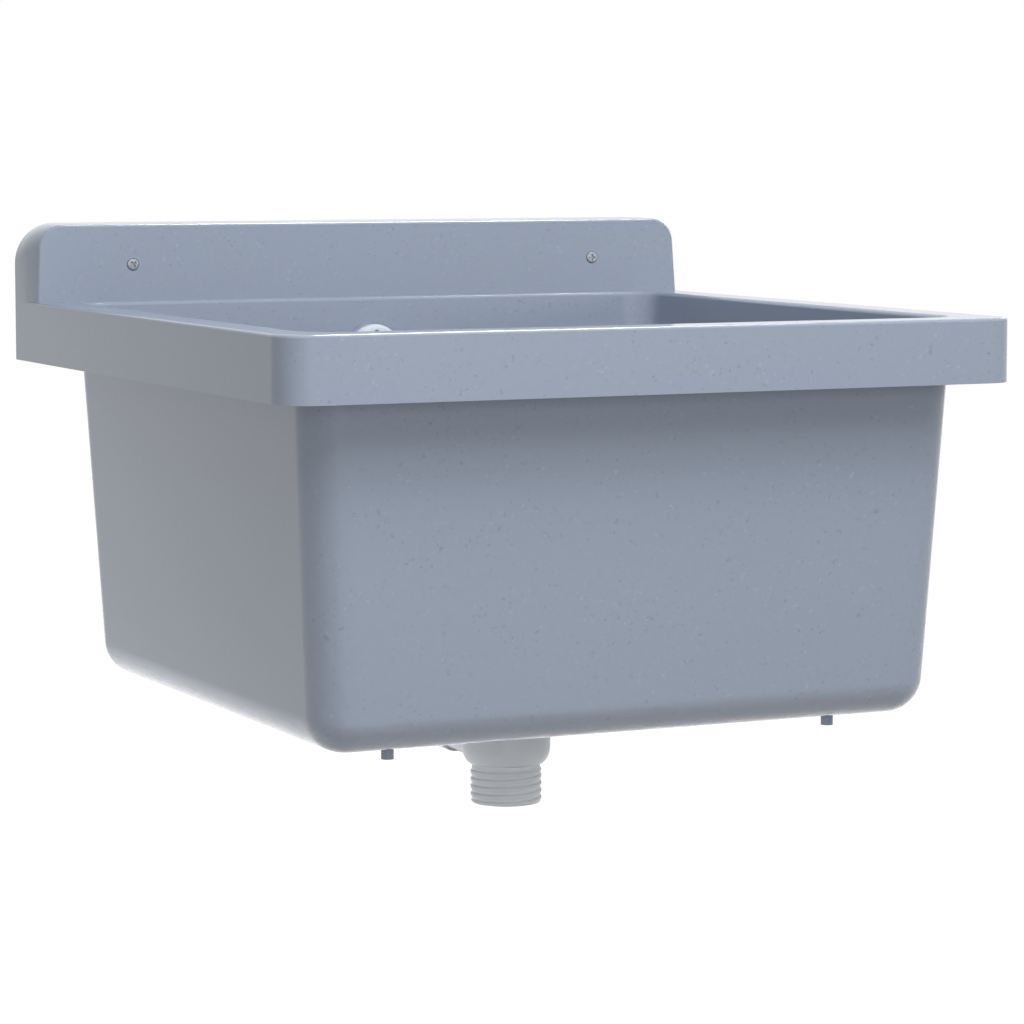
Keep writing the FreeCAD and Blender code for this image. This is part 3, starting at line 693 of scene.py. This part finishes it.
@dataclass
class Waste:
    """The waste body under the bowl, its seals and the strainer with its screw."""

    bench: Workbench
    drain_y: float
    outlet: float
    spigot_length: float = 26.0 * MM
    root_radius: float = 23.0 * MM
    crest_radius: float = 23.8 * MM
    pitch: float = 5.0 * MM
    crest_share: float = 0.38
    flank_share: float = 0.18
    bore_radius: float = 19.6 * MM
    plain_length: float = 2.4 * MM
    thread_turn: float = 230.0
    fade_turns: float = 0.4
    sides: int = 121
    rings_per_turn: int = 28
    margin: float = 0.05 * MM

    def gives_way(self, face: bmesh.types.BMFace) -> bool:
        """Whether the thread takes a face's place.

        Args:
            face: a face of the waste body.

        Returns:
            True on the outlet's outside and on its lower end.
        """
        middle = face.calc_center_median()
        away = math.hypot(middle.x, middle.y - self.drain_y)
        outside = away > (self.bore_radius + self.root_radius) / 2
        at_end = middle.z < self.outlet + self.margin
        return middle.z < self.outlet + self.spigot_length - self.margin and (outside or at_end)

    def build_body(self) -> bpy.types.Object:
        """The waste body, with a helical thread in place of the plain rings on its outlet.

        Returns:
            The finished piece.
        """
        mesh = self.bench.copy_of("waste_body")
        bmesh.ops.delete(mesh, geom=[f for f in mesh.faces if self.gives_way(f)], context="FACES")
        length = self.spigot_length - self.plain_length
        start = self.outlet + length
        sheet = self.bench.thread.mesh(bpy.data.meshes.new("outlet"), {
            "Root Radius": self.root_radius, "Crest Radius": self.crest_radius, "Pitch": self.pitch,
            "Length": length, "Tip Length": 0.0, "Tip Share": 1.0, "Crest Share": self.crest_share,
            "Flank Share": self.flank_share, "Fade Turns": self.fade_turns, "Sides": self.sides,
            "Rings": round(self.rings_per_turn * length / self.pitch), "Material": PALE_PLASTIC.material()})
        turn = Matrix.Rotation(math.radians(self.thread_turn), 4, "Z")
        self.bench.graft(mesh, sheet, Matrix.Translation((0.0, self.drain_y, start)) @ turn)
        self.bench.bridge(mesh, lambda p: p.z > start - self.margin)
        self.bench.bridge(mesh, lambda p: p.z < self.outlet + self.margin)
        return self.bench.piece("waste_moulding", mesh, "waste_body")

    def build(self) -> None:
        """Every piece of the waste."""
        self.build_body()
        self.bench.dress({"strainer": "strainer_pressing", "strainer_screw": "strainer_bolt"})
        self.bench.keep("strainer_seal", "waste_seal", "waste_nut")


@dataclass
class DrainPlug:
    """The rubber plug with its eye and pull ring."""

    bench: Workbench

    def build(self) -> None:
        """The plug, its eye and its ring."""
        self.bench.dress({"drain_plug": "rubber_plug", "plug_eye": "plug_lug", "plug_ring": "pull_loop"})


@dataclass
class Overflow:
    """The overflow: rosette, elbow, ribbed hose and cuffs."""

    bench: Workbench
    hose_y: float
    elbow_end: float
    port_z: float
    port_end: float
    bend_radius: float = 80.0 * MM
    route_resolution: int = 48
    pitch: float = 4.0 * MM
    crest_radius: float = 12.5 * MM
    root_radius: float = 10.4 * MM
    end_radius: float = 11.0 * MM
    bore_radius: float = 8.8 * MM
    crest_share: float = 0.40
    flank_share: float = 0.22
    sides: int = 40
    steps_per_rib: int = 8
    sharp_angle: float = 60.0
    flat_angle: float = 0.5
    lip_radius: float = 0.8 * MM
    lip_segments: int = 3
    round_profile: float = 0.5
    arc_handle_share: float = 4 / 3 * (math.sqrt(2) - 1)

    def route(self) -> bpy.types.Curve:
        """The hose's line: down from the elbow, a quarter turn, then level to the port.

        Returns:
            The line as a curve.
        """
        bend_z = self.port_z + self.bend_radius
        bend_y = self.hose_y - self.bend_radius
        handle = self.arc_handle_share * self.bend_radius
        points = [Vector((0, self.hose_y, self.elbow_end)), Vector((0, self.hose_y, bend_z)),
                  Vector((0, bend_y, self.port_z)), Vector((0, self.port_end, self.port_z))]
        down, level = Vector((0, 0, -handle)), Vector((0, -handle, 0))
        curve = bpy.data.curves.new("hose_route", "CURVE")
        curve.dimensions = "3D"
        curve.resolution_u = self.route_resolution
        spline = curve.splines.new("BEZIER")
        spline.bezier_points.add(len(points) - 1)
        for knot, place, ahead in zip(spline.bezier_points, points, (down, down, level, level)):
            knot.handle_left_type = knot.handle_right_type = "FREE"
            knot.co, knot.handle_left, knot.handle_right = place, place - ahead, place + ahead
        return curve

    def length(self) -> float:
        """The route's length: two straight runs and a quarter circle.

        Returns:
            The length in metres.
        """
        upright = self.elbow_end - self.port_z - self.bend_radius
        level = self.hose_y - self.bend_radius - self.port_end
        return upright + level + math.pi / 2 * self.bend_radius

    def build_hose(self) -> bpy.types.Object:
        """The ribbed hose with its bore and closed ends, plain for one diameter or more at each end.

        Returns:
            The finished piece.
        """
        length = self.length()
        diameter = 2 * self.crest_radius
        count = int((length - 2 * diameter) / self.pitch)
        first = (length - count * self.pitch) / 2
        data = self.bench.hose.mesh(self.route(), {
            "Crest Radius": self.crest_radius, "Root Radius": self.root_radius, "End Radius": self.end_radius,
            "Bore Radius": self.bore_radius, "Pitch": self.pitch, "First Rib": first,
            "Last Rib": length - first, "Crest Share": self.crest_share, "Flank Share": self.flank_share,
            "Step": self.pitch / self.steps_per_rib, "Sides": self.sides,
            "Material": HOSE_PLASTIC.material()})
        mesh = bmesh.new()
        mesh.from_mesh(data)
        bpy.data.meshes.remove(data)
        for end in (Vector((0, self.hose_y, self.elbow_end)), Vector((0, self.port_end, self.port_z))):
            self.bench.bridge(mesh, lambda p: (p - end).length < diameter)
        log.info("hose: %.1f mm along its route, %d ribs", length / MM, count)
        return self.bench.piece("ribbed_hose", mesh, "overflow_hose", self.sharp_angle)

    def build_cuffs(self) -> bpy.types.Object:
        """Both push-on cuffs, with rounded lips.

        Returns:
            The finished piece.
        """
        mesh = self.bench.copy_of("hose_cuffs")
        flat = math.radians(self.flat_angle)
        bmesh.ops.dissolve_limit(mesh, angle_limit=flat, verts=mesh.verts, edges=mesh.edges)
        sharp = math.radians(self.sharp_angle)
        lips = [e for e in mesh.edges if e.is_manifold and e.calc_face_angle() > sharp]
        bmesh.ops.bevel(mesh, geom=lips, offset=self.lip_radius, offset_type="OFFSET",
                        segments=self.lip_segments, profile=self.round_profile, affect="EDGES")
        return self.bench.piece("push_on_cuffs", mesh, "hose_cuffs")

    def build(self) -> None:
        """Every piece of the overflow."""
        self.build_hose()
        self.build_cuffs()
        self.bench.dress({"overflow_rosette": "rosette_cover", "overflow_screw": "rosette_screw",
                          "overflow_elbow": "elbow_moulding"})
        self.bench.keep("overflow_seal", "overflow_nut")


class Reach(Enum):
    """What a lamp of the studio does: light surfaces, or show as a highlight in gloss."""

    LIGHT = "light"
    HIGHLIGHT = "highlight"


@dataclass(frozen=True)
class SoftBox:
    """One soft round lamp, placed by its direction from what it is aimed at.

    Attributes:
        name: the lamp's name.
        elevation: degrees above the level.
        azimuth: degrees to the right of straight in front.
        distance: metres from the aim.
        size: metres across.
        level: watts for each square metre at the aim.
        reach: what the lamp does.
        aim: the place that it is turned to.
    """

    name: str
    elevation: float
    azimuth: float
    distance: float
    size: float
    level: float
    reach: Reach = Reach.LIGHT
    aim: Place = (0.0, -0.25, -0.1)

    def light(self) -> bpy.types.Object:
        """Hangs the lamp, turned to its aim.

        Returns:
            The lamp.
        """
        up, side = math.radians(self.elevation), math.radians(self.azimuth)
        towards = Vector((math.sin(side) * math.cos(up), -math.cos(side) * math.cos(up), math.sin(up)))
        data = bpy.data.lights.new(self.name, "AREA")
        data.shape = "DISK"
        data.size = self.size
        data.energy = self.level * math.pi * self.distance ** 2
        lamp = bpy.data.objects.new(self.name, data)
        lamp.location = Vector(self.aim) + self.distance * towards
        lamp.rotation_euler = towards.to_track_quat("Z", "Y").to_euler()
        lamp.visible_camera = False
        lamp.visible_diffuse = self.reach is Reach.LIGHT
        lamp.visible_glossy = self.reach is Reach.HIGHLIGHT
        bpy.context.scene.collection.objects.link(lamp)
        return lamp


@dataclass
class Studio:
    """Camera, soft lamps, a white surround and a pale floor. Angles are in degrees."""

    lens: float = 128.946
    camera_place: Place = (-1.0306, -2.4623, 0.0877)
    camera_pitch: float = 5.83
    camera_turn: float = 25.295
    clip_end: float = 200.0
    floor_height: float = -0.85
    floor_half: float = 30.0
    floor_colour: Colour = (0.80, 0.80, 0.80)
    floor_roughness: float = 0.9
    floor_glow: float = 0.85
    ambient: float = 0.20
    lamps: tuple[SoftBox, ...] = (
        SoftBox("key_box", 60.0, 0.0, 1.9, 0.62, 1.98),
        SoftBox("front_box", 6.0, -10.0, 1.9, 0.9, 0.62),
        SoftBox("high_box", 40.0, 20.0, 2.4, 0.9, 0.45),
        SoftBox("high_left_box", 45.0, -25.0, 2.4, 0.9, 0.62),
        SoftBox("right_box", 10.0, 80.0, 2.6, 1.1, 0.45),
        SoftBox("low_left_box", -30.0, -115.0, 0.85, 0.4, 1.12, aim=(-0.25, -0.02, -0.2)),
        SoftBox("low_front_box", -14.0, -18.0, 1.9, 0.7, 0.20),
        SoftBox("back_box", 35.0, 175.0, 2.6, 1.2, 1.3),
        SoftBox("edge_box", 60.6, 112.0, 2.41, 0.42, 0.72, Reach.HIGHLIGHT),
        SoftBox("splash_box", 62.6, 132.0, 2.58, 0.7, 2.4, Reach.HIGHLIGHT),
        SoftBox("corner_box", 23.0, 126.0, 2.6, 0.40, 0.40, Reach.HIGHLIGHT),
    )

    def camera(self) -> None:
        """The camera at the photograph's viewpoint."""
        data = bpy.data.cameras.new("view")
        data.lens = self.lens
        data.clip_end = self.clip_end
        made = bpy.data.objects.new("view", data)
        made.location = self.camera_place
        made.rotation_euler = (math.radians(90 - self.camera_pitch), 0.0, math.radians(-self.camera_turn))
        bpy.context.scene.collection.objects.link(made)
        bpy.context.scene.camera = made

    def seen(self, graph: NodeGraph) -> bpy.types.NodeSocket:
        """Tells the rays that see a thing directly, in a reflection or through a clear piece.

        Args:
            graph: the material's or the world's tree.

        Returns:
            A socket that is 1 for such a ray.
        """
        path = graph.add("ShaderNodeLightPath").outputs
        direct = graph.math("MAXIMUM", path["Is Camera Ray"], path["Is Glossy Ray"])
        return graph.math("MAXIMUM", direct, path["Is Transmission Ray"])

    def surround(self) -> None:
        """A white surround that lights the object at the ambient level."""
        world = bpy.data.worlds.new("surround")
        bpy.context.scene.world = world
        world.use_nodes = True
        graph = NodeGraph(world.node_tree)
        background = graph.tree.nodes["Background"].inputs
        graph.put(graph.spread(self.seen(graph), self.ambient, 1.0), background["Strength"])
        background["Color"].default_value = rgba(WHITE)

    def floor(self) -> None:
        """A pale floor that reads as white where it is lit and keeps the object's shadow."""
        data = bpy.data.meshes.new("floor")
        half = self.floor_half
        corners = [(x * half, y * half, self.floor_height) for x, y in ((-1, -1), (1, -1), (1, 1), (-1, 1))]
        data.from_pydata(corners, [], [(0, 1, 2, 3)])
        made = bpy.data.objects.new("floor", data)
        made.visible_diffuse = False
        bpy.context.scene.collection.objects.link(made)
        material = bpy.data.materials.new("pale_floor")
        material.use_nodes = True
        graph = NodeGraph(material.node_tree)
        shader = graph.tree.nodes["Principled BSDF"].inputs
        shader["Base Color"].default_value = rgba(self.floor_colour)
        shader["Roughness"].default_value = self.floor_roughness
        shader["Specular IOR Level"].default_value = 0.0
        shader["Emission Color"].default_value = rgba(WHITE)
        glow = graph.math("MULTIPLY", self.seen(graph), self.floor_glow)
        graph.put(glow, shader["Emission Strength"])
        data.materials.append(material)

    def build(self) -> None:
        """The whole studio."""
        bpy.context.scene.view_settings.view_transform = "Standard"
        self.camera()
        self.surround()
        self.floor()
        for lamp in self.lamps:
            lamp.light()


def hose_ends() -> tuple[float, float, float, float]:
    """Where the hose starts and ends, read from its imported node's box.

    Returns:
        The upright run's Y, its top Z, the level run's Z and its end Y.
    """
    low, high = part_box("overflow_hose")
    radius = Overflow.crest_radius
    return high.y - radius, high.z, low.z + radius, low.y


def main() -> None:
    """Builds the studio and every sub-assembly in order."""
    logging.basicConfig(level=logging.INFO, format="%(message)s")
    Studio().build()
    bench = Workbench()
    Basin(bench).build()
    WallFixings(bench).build()
    seal_low, seal_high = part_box("waste_seal")
    Waste(bench, (seal_low.y + seal_high.y) / 2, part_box("waste_body")[0].z).build()
    DrainPlug(bench).build()
    Overflow(bench, *hose_ends()).build()


if __name__ == "__main__":
    main()
